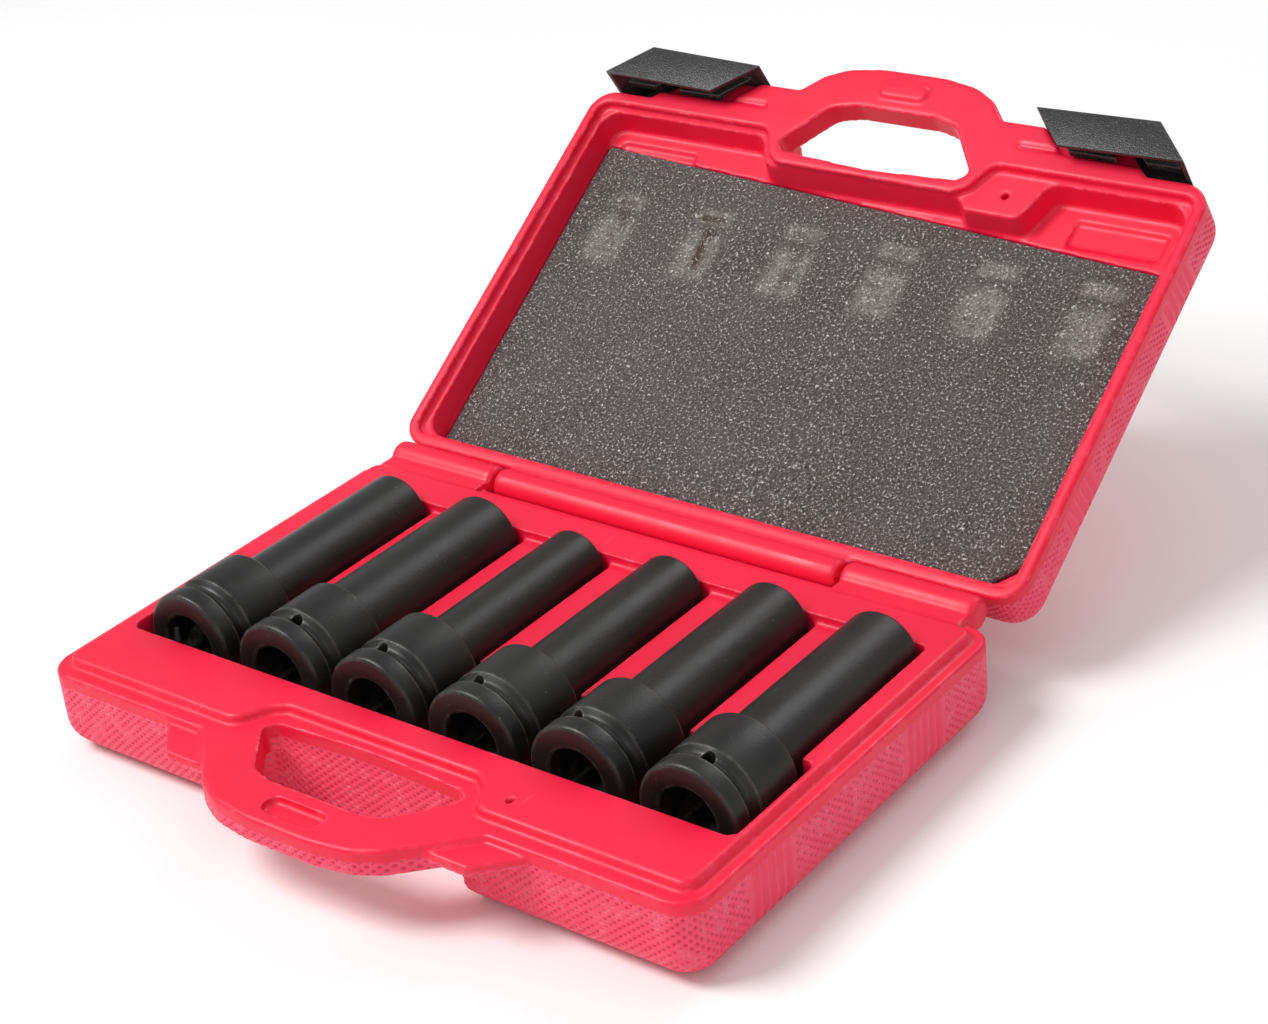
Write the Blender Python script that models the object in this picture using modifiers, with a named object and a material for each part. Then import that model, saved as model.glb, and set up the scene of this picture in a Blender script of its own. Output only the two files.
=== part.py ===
"""Socket wrench set in a blow-moulded carrying case.

A shallow double-walled case opens like a book on a barrel hinge at its back.  The base holds
six long impact sockets in a shared front trough with one slot for each tube, the lid carries a
thin foam sheet, and two channel-shaped latches slide along a rail on the lid's front edge.

Millimetres are used throughout and turned into metres by MM.  The origin is the centre of the
base's underside, +X runs to the right seen from the handle, +Y towards the hinge, +Z up.
Lid pieces are drawn shut and hang on an empty that stands on the hinge axis and opens them.
"""
import math

import bmesh
import bpy

MM = 0.001

# Case shells
CASE_W = 326.0
CASE_D = 206.0
BASE_H = 37.0
LID_H = 30.0
LID_Z = 37.4
CORNER_R = 13.0
EDGE_R = 11.0
WALL = 2.2

# Raised deck of the base and the stepped recess of the lid that closes over it
DECK_Z = 41.0
DECK_X = 157.0
DECK_FRONT = -95.5
DECK_BACK = 96.0
DECK_NOTCH_X = 54.0
DECK_NOTCH_Y = -78.0
DECK_CHAMFER = 1.4
STEP_GAP = 0.7
STEP_Z = 42.0
RECESS_INSET = 3.5
RECESS_BAY_Y = -76.5
RECESS_Z = 60.7
MOUND = (56.5, 86.0, -71.5)
MOUND_Z = 42.6

# Handle, front flanges and latch rail
FLANGE_T = 12.0
HANDLE_FRONT = -138.0
FLANGE_Y = -120.0
SHOULDER_X = 72.0
LEDGE_X = 91.2
LEDGE_Y = -119.0
LEDGE_LOW = 29.4
LEDGE_TOP = 34.2
RAIL_X = 130.6
BASE_BAY_X = 57.0
LID_BAY_X = 53.0
BAY_Y = -85.5
WALL_Y = -103.5
GROOVE = (67.0, 129.0, -109.6, -107.2, 1.7)
PAD = (24.0, 8.0, -126.5, 1.8)

# Hinge
HINGE_Y = 111.0
HINGE_Z = 37.2
KNUCKLE_R = 7.0
LID_OPEN = 146.6
KNUCKLES = ((-156.0, -98.0), (-94.7, 84.7), (88.0, 150.0))
PIN_R = 2.0
PIN_LENGTH = 30.0
BORE_GAP = 0.1

# Sockets: centre line height, spacing and the turned profile
SOCKET_PITCH = 50.6
SOCKET_MID_X = 1.5
SOCKET_Z = 35.4
SOCKET_FACE = -57.2
SOCKET_L = 132.0
COLLAR_R = 22.0
COLLAR_L = 39.5
RING_L = 8.5
GROOVE_L = 6.5
GROOVE_R = 20.0
DRIVE_SQ = 19.3
DRIVE_DEPTH = 28.0
DRIVE_MOUTH_R = 13.2
NOSE_DEPTH = 62.0
THROUGH_R = 6.5
PIN_HOLE_R = 2.6
SCREW_STEPS = 32
# tube radius and nose bore radius of each, from left to right
SOCKETS = (
    (16.2, 10.2),
    (18.0, 11.6),
    (14.2, 9.0),
    (15.3, 9.8),
    (16.2, 10.8),
    (16.8, 11.6),
)

# Trough and tube slots in the base
SLOT_MID_X = 2.4
TROUGH_X0 = -149.0
TROUGH_X1 = 153.2
TROUGH_FRONT = -64.0
TROUGH_BACK = -13.0
SLOT_BACK = 76.0
SLOT_GAP = 1.8
FLOOR_GAP = 0.4
RIB_TOP = 37.0
VENT = (70.0, -85.5, 1.6)

# Latch channel
LATCH_T = 2.0
LATCH_WALL_Y = -120.3
LATCH_IN_X = 92.0
LATCH_OUT_X = 152.5
LATCH_LOW_IN = 26.8
LATCH_LOW_OUT = 23.2
LATCH_TOP = 51.8
WEBS = ((97.0, 120.0), (134.0, 151.0))
LATCH_END_T = 2.2
LATCH_SLOPE_OVERRUN = 20.0

# Foam sheet
FOAM_Z = (58.1, 60.4)

PIVOT = (0.0, HINGE_Y, HINGE_Z)
WORLD = (0.0, 0.0, 0.0)


def clear_scene():
    for obj in list(bpy.data.objects):
        bpy.data.objects.remove(obj, do_unlink=True)


def new_collection(name):
    coll = bpy.data.collections.new(name)
    bpy.context.scene.collection.children.link(coll)
    return coll


def make_material(name, colour, roughness, metallic=0.0):
    mat = bpy.data.materials.new(name)
    mat.use_nodes = True
    shader = mat.node_tree.nodes["Principled BSDF"]
    shader.inputs["Base Color"].default_value = (*colour, 1.0)
    shader.inputs["Roughness"].default_value = roughness
    shader.inputs["Metallic"].default_value = metallic
    return mat


class Frame:
    """A place pieces are built in: its empty (or none), its origin and the collections."""

    def __init__(self, parent, origin, parts, cutters):
        self.parent = parent
        self.origin = origin
        self.parts = parts
        self.cutters = cutters

    def add(self, name, mesh, cutter=False):
        obj = bpy.data.objects.new(name, mesh)
        (self.cutters if cutter else self.parts).objects.link(obj)
        obj.parent = self.parent
        if cutter:
            obj.hide_render = True
            obj.display_type = "WIRE"
        return obj

    def shift(self, mesh):
        ox, oy, oz = self.origin
        for vert in mesh.vertices:
            vert.co.x -= ox * MM
            vert.co.y -= oy * MM
            vert.co.z -= oz * MM


def rounded(corners, steps=5):
    """Outline through (x, y, radius) corners, each turned into a short arc."""
    out = []
    count = len(corners)
    for i, (x, y, radius) in enumerate(corners):
        if radius <= 0:
            out.append((x, y))
            continue
        ax, ay, _ = corners[i - 1]
        bx, by, _ = corners[(i + 1) % count]
        ua = math.hypot(ax - x, ay - y)
        ub = math.hypot(bx - x, by - y)
        ux, uy = (ax - x) / ua, (ay - y) / ua
        vx, vy = (bx - x) / ub, (by - y) / ub
        half = math.acos(max(-1.0, min(1.0, ux * vx + uy * vy))) / 2
        reach = radius / math.tan(half)
        mx, my = ux + vx, uy + vy
        length = math.hypot(mx, my)
        cx = x + mx / length * radius / math.sin(half)
        cy = y + my / length * radius / math.sin(half)
        start = math.atan2(y + uy * reach - cy, x + ux * reach - cx)
        end = math.atan2(y + vy * reach - cy, x + vx * reach - cx)
        turn = (end - start + math.pi) % (2 * math.pi) - math.pi
        for k in range(steps + 1):
            angle = start + turn * k / steps
            out.append((cx + radius * math.cos(angle), cy + radius * math.sin(angle)))
    return out


def mirrored(points):
    return [(-x, y) for x, y in reversed(points)]


def slab_mesh(name, outlines, z0, z1):
    """Flat outline (with holes) given thickness between two heights."""
    curve = bpy.data.curves.new(name, "CURVE")
    curve.dimensions = "2D"
    curve.fill_mode = "BOTH"
    curve.extrude = (z1 - z0) / 2 * MM
    for outline in outlines:
        spline = curve.splines.new("POLY")
        spline.points.add(len(outline) - 1)
        spline.use_cyclic_u = True
        for point, (x, y) in zip(spline.points, outline):
            point.co = (x * MM, y * MM, 0.0, 1.0)
    temp = bpy.data.objects.new(name, curve)
    mesh = bpy.data.meshes.new_from_object(temp)
    bpy.data.objects.remove(temp, do_unlink=True)
    bpy.data.curves.remove(curve)
    work = bmesh.new()
    work.from_mesh(mesh)
    bmesh.ops.remove_doubles(work, verts=work.verts, dist=0.00001)
    bmesh.ops.recalc_face_normals(work, faces=work.faces)
    bmesh.ops.translate(work, verts=work.verts, vec=(0, 0, (z0 + z1) / 2 * MM))
    work.to_mesh(mesh)
    work.free()
    mesh.name = name
    return mesh


def slab(frame, name, outlines, z0, z1, cutter=False):
    mesh = slab_mesh(name, outlines, z0, z1)
    frame.shift(mesh)
    return frame.add(name, mesh, cutter)


def rod_mesh(name, radius, length, centre, axis="X", segments=24):
    """Closed cylinder about a line along X, Y or Z through its centre."""
    work = bmesh.new()
    bmesh.ops.create_cone(
        work, cap_ends=True, segments=segments, radius1=radius * MM, radius2=radius * MM, depth=length * MM
    )
    mesh = bpy.data.meshes.new(name)
    work.to_mesh(mesh)
    work.free()
    for vert in mesh.vertices:
        x, y, z = vert.co
        if axis == "X":
            x, z = z, -x
        elif axis == "Y":
            y, z = z, -y
        vert.co = (x + centre[0] * MM, y + centre[1] * MM, z + centre[2] * MM)
    return mesh


def rod(frame, name, radius, length, centre, axis="X", segments=24, cutter=False):
    mesh = rod_mesh(name, radius, length, centre, axis, segments)
    frame.shift(mesh)
    return frame.add(name, mesh, cutter)


def box_outline(x0, x1, y0, y1, radius=0.0, steps=4):
    return rounded([(x0, y0, radius), (x1, y0, radius), (x1, y1, radius), (x0, y1, radius)], steps)


def combine(target, operation, other):
    mod = target.modifiers.new(other.name, "BOOLEAN")
    mod.operation = operation
    mod.solver = "EXACT"
    mod.object = other
    return mod


def round_level_edges(obj, level, width, segments):
    """Bevel only the outline edges that lie in one level plane of the mesh."""
    mesh = obj.data
    work = bmesh.new()
    work.from_mesh(mesh)
    layer = work.edges.layers.float.new("bevel_weight_edge")
    for edge in work.edges:
        on_level = all(abs(vert.co.z - level * MM) < 1e-6 for vert in edge.verts)
        edge[layer] = 1.0 if on_level and edge.calc_face_angle() > 0.5 else 0.0
    work.to_mesh(mesh)
    work.free()
    mod = obj.modifiers.new("edge", "BEVEL")
    mod.limit_method = "WEIGHT"
    mod.width = width * MM
    mod.segments = segments
    mod.use_clamp_overlap = False
    return mod


def shade_round(obj, angle=35.0):
    mesh = obj.data
    for poly in mesh.polygons:
        poly.use_smooth = True
    mesh.set_sharp_from_angle(angle=math.radians(angle))


def finish(obj, material):
    obj.data.materials.clear()
    obj.data.materials.append(material)
    shade_round(obj)


# ---------------------------------------------------------------- outlines


def case_outline(inset=0.0):
    half_w = CASE_W / 2 - inset
    half_d = CASE_D / 2 - inset
    return box_outline(-half_w, half_w, -half_d, half_d, CORNER_R - inset, 6)


def deck_outline(grow=0.0):
    """Rounded plateau with a bay at the front that leaves room for the handle hole."""
    side = DECK_X + grow
    front = DECK_FRONT - grow
    back = DECK_BACK + grow
    bay_x = DECK_NOTCH_X - grow
    bay_y = DECK_NOTCH_Y - grow
    return rounded(
        [
            (-side, front, 5 + grow),
            (-bay_x, front, 7),
            (-bay_x, bay_y, 7),
            (bay_x, bay_y, 7),
            (bay_x, front, 7),
            (side, front, 5 + grow),
            (side, back, 5 + grow),
            (-side, back, 5 + grow),
        ],
        4,
    )


def recess_outline(grow=0.0):
    """Deep recess of the lid, stepping round the handle bay and the vent mound."""
    side = DECK_X - RECESS_INSET + grow
    front = DECK_FRONT + RECESS_INSET - grow
    back = DECK_BACK - RECESS_INSET + grow
    bay_x = DECK_NOTCH_X + RECESS_INSET - grow
    bay_y = RECESS_BAY_Y - grow
    mound_x0 = MOUND[0] - grow
    mound_x1 = MOUND[1] - grow
    mound_y = MOUND[2] - grow
    return rounded(
        [
            (-side, front, 6 + grow),
            (-bay_x, front, 6),
            (-bay_x, bay_y, 6),
            (mound_x0 - 6 + 2 * grow, bay_y, 2),
            (mound_x0 - 6 + 2 * grow, mound_y, 3),
            (mound_x1, mound_y, 5),
            (mound_x1, front, 3),
            (side, front, 6 + grow),
            (side, back, 6 + grow),
            (-side, back, 6 + grow),
        ],
        4,
    )


def handle_hole():
    right = [(0.0, -83.0, 0), (46.0, -85.5, 4), (51.0, -90.0, 3), (33.0, -113.0, 8), (22.0, -116.0, 12)]
    left = [(-x, y, r) for x, y, r in reversed(right) if x > 0]
    return rounded(right + left, 4)


def handle_bay(half_width):
    """Room for the fingers behind the grip, where the case wall stands back under the handle plate."""
    return box_outline(-half_width, half_width, HANDLE_FRONT - 5, BAY_Y, 6, 4)


def handle_surround():
    """Block round the handle hole that keeps a wall between it and the air spaces."""
    reach = BASE_BAY_X + WALL
    return box_outline(-reach, reach, HANDLE_FRONT, -83.0 + WALL)


def handle_outline(shoulder_x, shoulder_y):
    """Flat grip in front of the case, its shoulders running at forty-five degrees to the wall."""
    right = [
        (shoulder_x, -95.0),
        (shoulder_x, shoulder_y),
        (45.0, -129.5),
        (38.0, -133.4),
        (29.0, -135.9),
        (16.0, -137.4),
        (0.0, HANDLE_FRONT),
    ]
    return right + [(-x, y) for x, y in reversed(right[:-1])]


def slanted(x0, x1, y0, y1):
    """Outline between two depths whose ends lean forty-five degrees towards the handle."""
    lean = WALL_Y
    return [
        (x0 + (y0 - lean), y0),
        (x1 + (y0 - lean), y0),
        (x1 + (y1 - lean), y1),
        (x0 + (y1 - lean), y1),
    ]


def socket_x(index):
    return SOCKET_MID_X + SOCKET_PITCH * (index - 2.5)


def slot_x(index):
    return SLOT_MID_X + SOCKET_PITCH * (index - 2.5)


# ---------------------------------------------------------------- base


def base_inner_tray(frame):
    """Trough, tube slots and the lowered field between them, cut out of the deck."""
    cuts = []
    floor = SOCKET_Z - COLLAR_R - FLOOR_GAP
    trough = box_outline(TROUGH_X0, TROUGH_X1, TROUGH_FRONT, TROUGH_BACK, 3.0, 3)
    cuts.append(slab(frame, "trough_cut", [trough], floor, 50, True))
    first_w = SOCKETS[0][0] + SLOT_GAP
    last_w = SOCKETS[5][0] + SLOT_GAP
    field = box_outline(slot_x(0) - first_w, slot_x(5) + last_w, TROUGH_BACK - 10, SLOT_BACK, 2.0, 2)
    cuts.append(slab(frame, "rib_field_cut", [field], RIB_TOP, 51, True))
    for i, (tube_r, _) in enumerate(SOCKETS):
        half = tube_r + SLOT_GAP
        x = slot_x(i)
        slot = box_outline(x - half, x + half, TROUGH_BACK - 8, SLOT_BACK, 2.5, 2)
        cuts.append(slab(frame, "slot_cut_%d" % (i + 1), [slot], SOCKET_Z - tube_r - FLOOR_GAP, 52, True))
    return cuts


def base_void(frame):
    """Air space between the outer shell and the moulded tray."""
    void = slab(frame, "base_void", [case_outline(WALL)], WALL, BASE_H - WALL, True)
    round_level_edges(void, WALL, EDGE_R - WALL, 3)
    under_deck = slab(frame, "base_void_deck", [deck_outline(-WALL)], 25, DECK_Z - WALL, True)
    combine(void, "UNION", under_deck)
    tray_floor = SOCKET_Z - COLLAR_R - FLOOR_GAP - WALL
    outer = box_outline(
        TROUGH_X0 - WALL, TROUGH_X1 + WALL, TROUGH_FRONT - WALL, TROUGH_BACK + WALL, 3.0 + WALL, 3
    )
    combine(void, "DIFFERENCE", slab(frame, "tray_block", [outer], tray_floor, 60, True))
    first = slot_x(0) - SOCKETS[0][0] - SLOT_GAP - WALL
    last = slot_x(5) + SOCKETS[5][0] + SLOT_GAP + WALL
    floor = SOCKET_Z - max(row[0] for row in SOCKETS) - FLOOR_GAP - WALL
    block = box_outline(first, last, TROUGH_BACK - 20, SLOT_BACK + WALL, 3.0, 2)
    combine(void, "DIFFERENCE", slab(frame, "slot_block", [block], floor, 61, True))
    combine(void, "DIFFERENCE", slab(frame, "grip_block", [handle_surround()], -5, 62, True))
    return void


def build_base(frame, red):
    base = slab(frame, "base_shell", [case_outline()], 0, BASE_H)
    round_level_edges(base, 0, EDGE_R, 4)
    deck = slab(frame, "deck_add", [deck_outline()], BASE_H - 1, DECK_Z, True)
    round_level_edges(deck, DECK_Z, DECK_CHAMFER, 1)
    combine(base, "UNION", deck)
    grip = slab(
        frame, "grip_add", [handle_outline(SHOULDER_X, WALL_Y)], BASE_H - FLANGE_T, BASE_H, True
    )
    combine(base, "UNION", grip)
    for side, name in ((1, "right"), (-1, "left")):
        ledge = slanted(SHOULDER_X - 8, LEDGE_X, LEDGE_Y, -100.0)
        if side < 0:
            ledge = mirrored(ledge)
        combine(base, "UNION", slab(frame, "ledge_%s_add" % name, [ledge], LEDGE_LOW, LEDGE_TOP, True))
    for x0, x1, name in ((*KNUCKLES[0], "left"), (*KNUCKLES[2], "right")):
        middle = (x0 + x1) / 2
        arm = box_outline(x0, x1, 98, HINGE_Y, 0)
        combine(base, "UNION", slab(frame, "arm_%s_add" % name, [arm], HINGE_Z - KNUCKLE_R, HINGE_Z - 0.4, True))
        barrel = rod(frame, "barrel_%s_add" % name, KNUCKLE_R, x1 - x0, (middle, HINGE_Y, HINGE_Z), cutter=True)
        combine(base, "UNION", barrel)
    combine(base, "DIFFERENCE", slab(frame, "grip_hole_cut", [handle_hole()], 0, 60, True))
    combine(base, "DIFFERENCE", slab(frame, "bay_cut", [handle_bay(BASE_BAY_X)], -5, BASE_H - FLANGE_T, True))
    for cut in base_inner_tray(frame):
        combine(base, "DIFFERENCE", cut)
    combine(base, "DIFFERENCE", base_void(frame))
    half_x, half_y = PAD[0] / 2 + 1.5, PAD[1] / 2 + 1.2
    pocket = box_outline(-half_x, half_x, PAD[2] - half_y, PAD[2] + half_y, 3.5, 3)
    combine(base, "DIFFERENCE", slab(frame, "pad_pocket_cut", [pocket], BASE_H - 2.4, 55, True))
    vent = rod(frame, "base_vent_cut", VENT[2], 20, (VENT[0], VENT[1], DECK_Z), "Z", 12, True)
    combine(base, "DIFFERENCE", vent)
    for x, name in ((KNUCKLES[0][1], "left"), (KNUCKLES[2][0], "right")):
        bore = rod(
            frame, "base_bore_%s_cut" % name, PIN_R + BORE_GAP, PIN_LENGTH + 0.6, (x, HINGE_Y, HINGE_Z), cutter=True
        )
        combine(base, "DIFFERENCE", bore)
    finish(base, red)
    return base


# ---------------------------------------------------------------- lid


def lid_void(frame):
    void = slab(frame, "lid_void", [case_outline(WALL)], LID_Z + WALL, LID_Z + LID_H - WALL, True)
    top = LID_Z + LID_H - WALL - HINGE_Z
    round_level_edges(void, top, EDGE_R - WALL, 3)
    step = slab(frame, "lid_step_block", [deck_outline(STEP_GAP + WALL)], 20, STEP_Z + WALL, True)
    combine(void, "DIFFERENCE", step)
    recess = slab(frame, "lid_recess_block", [recess_outline(WALL)], 20, RECESS_Z + WALL, True)
    combine(void, "DIFFERENCE", recess)
    combine(void, "DIFFERENCE", slab(frame, "lid_grip_block", [handle_surround()], 22, 85, True))
    return void


def build_lid(frame, red):
    lid = slab(frame, "lid_shell", [case_outline()], LID_Z, LID_Z + LID_H)
    round_level_edges(lid, LID_Z + LID_H - HINGE_Z, EDGE_R, 4)
    grip = slab(
        frame, "lid_grip_add", [handle_outline(54.0, FLANGE_Y)], LID_Z, LID_Z + FLANGE_T, True
    )
    combine(lid, "UNION", grip)
    half = slanted(0, RAIL_X, FLANGE_Y, -98.0)[1:3]
    rail = half + mirrored(half)
    combine(lid, "UNION", slab(frame, "lid_rail_add", [rail], LID_Z, LID_Z + FLANGE_T, True))
    pad = box_outline(-PAD[0] / 2, PAD[0] / 2, PAD[2] - PAD[1] / 2, PAD[2] + PAD[1] / 2, 2.5, 3)
    combine(lid, "UNION", slab(frame, "lid_pad_add", [pad], LID_Z - PAD[3], LID_Z + 1, True))
    x0, x1 = KNUCKLES[1]
    arm = box_outline(x0, x1, 98, HINGE_Y, 0)
    combine(lid, "UNION", slab(frame, "lid_arm_add", [arm], HINGE_Z + 0.4, HINGE_Z + KNUCKLE_R, True))
    barrel = rod(
        frame, "lid_barrel_add", KNUCKLE_R, x1 - x0, ((x0 + x1) / 2, HINGE_Y, HINGE_Z), cutter=True
    )
    combine(lid, "UNION", barrel)
    combine(lid, "DIFFERENCE", slab(frame, "lid_grip_hole_cut", [handle_hole()], 10, 80, True))
    bay = handle_bay(LID_BAY_X)
    combine(lid, "DIFFERENCE", slab(frame, "lid_bay_cut", [bay], LID_Z + FLANGE_T, 90, True))
    step = slab(frame, "lid_step_cut", [deck_outline(STEP_GAP)], 20, STEP_Z, True)
    combine(lid, "DIFFERENCE", step)
    recess = slab(frame, "lid_recess_cut", [recess_outline()], 21, RECESS_Z, True)
    combine(lid, "DIFFERENCE", recess)
    combine(lid, "DIFFERENCE", lid_void(frame))
    for side, name in ((1, "right"), (-1, "left")):
        xs = sorted((side * GROOVE[0], side * (GROOVE[1] + 5)))
        groove = box_outline(xs[0], xs[1], GROOVE[2], GROOVE[3])
        combine(lid, "DIFFERENCE", slab(frame, "groove_%s_cut" % name, [groove], 30, LID_Z + GROOVE[4], True))
    vent = rod(frame, "lid_vent_cut", VENT[2], 12, (VENT[0], VENT[1], MOUND_Z), "Z", 12, True)
    combine(lid, "DIFFERENCE", vent)
    for x, name in ((KNUCKLES[1][0], "left"), (KNUCKLES[1][1], "right")):
        bore = rod(
            frame, "lid_bore_%s_cut" % name, PIN_R + BORE_GAP, PIN_LENGTH + 0.6, (x, HINGE_Y, HINGE_Z), cutter=True
        )
        combine(lid, "DIFFERENCE", bore)
    finish(lid, red)
    return lid


def build_foam(frame, foam):
    """Thin sheet cut a little askew, with the right corner by the hinge taken off."""
    outline = [(-151, -81), (150, -65), (152.5, 78), (140, 91.5), (-147, 91.5), (-152, 86)]
    pad = slab(frame, "foam_pad", [outline], *FOAM_Z)
    finish(pad, foam)
    return pad


def arm_level(x):
    """Underside of a latch's lower arm, rising towards the handle so that the latch draws tight."""
    share = (LATCH_OUT_X - abs(x)) / (LATCH_OUT_X - LATCH_IN_X + LATCH_SLOPE_OVERRUN)
    return LATCH_LOW_OUT + share * (LATCH_LOW_IN - LATCH_LOW_OUT)


def latch_slab(frame, name, outline, top, cutter=True):
    """Slab standing on the sloping underside, up to a level or, without one, of even thickness."""
    mesh = slab_mesh(name, [outline], 0.0, 1.0)
    for vert in mesh.vertices:
        low = arm_level(vert.co.x / MM)
        high = low + LATCH_T if top is None else top
        vert.co.z = (low if vert.co.z < 0.5 * MM else high) * MM
    frame.shift(mesh)
    return frame.add(name, mesh, cutter)


def build_latch(frame, name, side, black):
    """Channel of parallelogram plan that grips the lid's rail and, slid inwards, the base's ledge."""
    def outline(x0, x1, y0, y1):
        points = slanted(x0, x1, y0, y1)
        return points if side > 0 else mirrored(points)

    inner_y = WALL_Y - 0.3
    outer_y = LATCH_WALL_Y - LATCH_T
    wall = outline(LATCH_IN_X, LATCH_OUT_X, outer_y, LATCH_WALL_Y)
    latch = latch_slab(frame, name, wall, LATCH_TOP, False)
    arm = outline(LATCH_IN_X, LATCH_OUT_X, outer_y, inner_y)
    combine(latch, "UNION", latch_slab(frame, name + "_low_add", arm, None))
    high = slab(frame, name + "_high_add", [arm], LATCH_TOP - LATCH_T, LATCH_TOP, True)
    combine(latch, "UNION", high)
    end = outline(LATCH_OUT_X - LATCH_END_T, LATCH_OUT_X, outer_y, inner_y)
    combine(latch, "UNION", latch_slab(frame, name + "_end_add", end, LATCH_TOP))
    top = LID_Z - 0.4
    for k, (x0, x1) in enumerate(WEBS):
        web = outline(x0, x1, outer_y, GROOVE[3] - 0.3)
        combine(latch, "UNION", slab(frame, "%s_web_%d_add" % (name, k), [web], top - 2.0, top, True))
        lip = outline(x0, x1, GROOVE[2] + 0.3, GROOVE[3] - 0.3)
        combine(latch, "UNION", slab(frame, "%s_lip_%d_add" % (name, k), [lip], top - 1.0, LID_Z + 1.3, True))
    finish(latch, black)
    return latch


def build_pin(frame, name, x, steel):
    mesh = rod_mesh(name, PIN_R, PIN_LENGTH, (0, 0, 0))
    pin = frame.add(name, mesh)
    pin.location = (x * MM, HINGE_Y * MM, HINGE_Z * MM)
    finish(pin, steel)
    return pin


# ---------------------------------------------------------------- sockets


def socket_profile(tube_r):
    """Outer side from the drive face down to the nose, as (radius, distance from the drive face)."""
    ring_end = RING_L
    collar_start = RING_L + GROOVE_L
    return [
        (0.0, 0.0),
        (COLLAR_R - 1.2, 0.0),
        (COLLAR_R, 1.2),
        (COLLAR_R, ring_end),
        (GROOVE_R + 0.4, ring_end + 1.0),
        (GROOVE_R, ring_end + 2.0),
        (GROOVE_R, collar_start - 2.0),
        (GROOVE_R + 0.4, collar_start - 1.0),
        (COLLAR_R, collar_start),
        (COLLAR_R, COLLAR_L - 2.0),
        (COLLAR_R - 0.6, COLLAR_L - 0.6),
        (COLLAR_R - 2.2, COLLAR_L),
        (tube_r + 1.0, COLLAR_L + 1.5),
        (tube_r, COLLAR_L + 3.5),
        (tube_r, SOCKET_L - 2.6),
        (tube_r - 0.8, SOCKET_L - 0.8),
        (tube_r - 2.6, SOCKET_L),
        (0.0, SOCKET_L),
    ]


def turned_mesh(name, profile):
    """Solid of revolution about local Z whose drive face is at z = 0 and nose at minus the length."""
    mesh = bpy.data.meshes.new(name)
    verts = [(radius * MM, 0.0, -depth * MM) for radius, depth in profile]
    edges = [(i, i + 1) for i in range(len(verts) - 1)]
    mesh.from_pydata(verts, edges, [])
    return mesh


def star_outline(radius, points=6, depth=0.16, steps=24):
    """Six-lobed bore outline."""
    out = []
    for k in range(steps):
        angle = 2 * math.pi * k / steps
        reach = radius * (1 - depth * (0.5 - 0.5 * math.cos(points * angle)))
        out.append((reach * math.cos(angle), reach * math.sin(angle)))
    return out


def build_socket(frame, index, steel):
    tube_r, nose_r = SOCKETS[index]
    name = "socket_%d" % (index + 1)
    socket = frame.add(name, turned_mesh(name, socket_profile(tube_r)))
    screw = socket.modifiers.new("turn", "SCREW")
    screw.axis = "Z"
    screw.angle = 2 * math.pi
    screw.steps = SCREW_STEPS
    screw.render_steps = SCREW_STEPS
    screw.use_merge_vertices = True
    screw.merge_threshold = 0.00001
    socket.location = (socket_x(index) * MM, SOCKET_FACE * MM, SOCKET_Z * MM)
    socket.rotation_euler = (math.radians(90), 0, 0)
    inner = Frame(socket, WORLD, frame.parts, frame.cutters)
    half = DRIVE_SQ / 2
    square = box_outline(-half, half, -half, half)
    cuts = [
        slab(inner, name + "_drive_cut", [square], -DRIVE_DEPTH, 5, True),
        slab(inner, name + "_nose_cut", [star_outline(nose_r)], -SOCKET_L - 5, -SOCKET_L + NOSE_DEPTH, True),
        rod(inner, name + "_through_cut", THROUGH_R, SOCKET_L + 1, (0, 0, -SOCKET_L / 2), "Z", 16, True),
        rod(
            inner,
            name + "_pin_cut",
            PIN_HOLE_R,
            30,
            (0, 15, -(RING_L + GROOVE_L / 2)),
            "Y",
            12,
            True,
        ),
    ]
    work = bmesh.new()
    bmesh.ops.create_cone(
        work,
        cap_ends=True,
        segments=SCREW_STEPS,
        radius1=(DRIVE_MOUTH_R - 4.5) * MM,
        radius2=(DRIVE_MOUTH_R + 0.5) * MM,
        depth=5 * MM,
    )
    bmesh.ops.translate(work, verts=work.verts, vec=(0, 0, -2 * MM))
    mouth = bpy.data.meshes.new(name + "_mouth_cut")
    work.to_mesh(mouth)
    work.free()
    cuts.append(inner.add(name + "_mouth_cut", mouth, True))
    for cut in cuts:
        combine(socket, "DIFFERENCE", cut)
    finish(socket, steel)
    return socket


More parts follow.
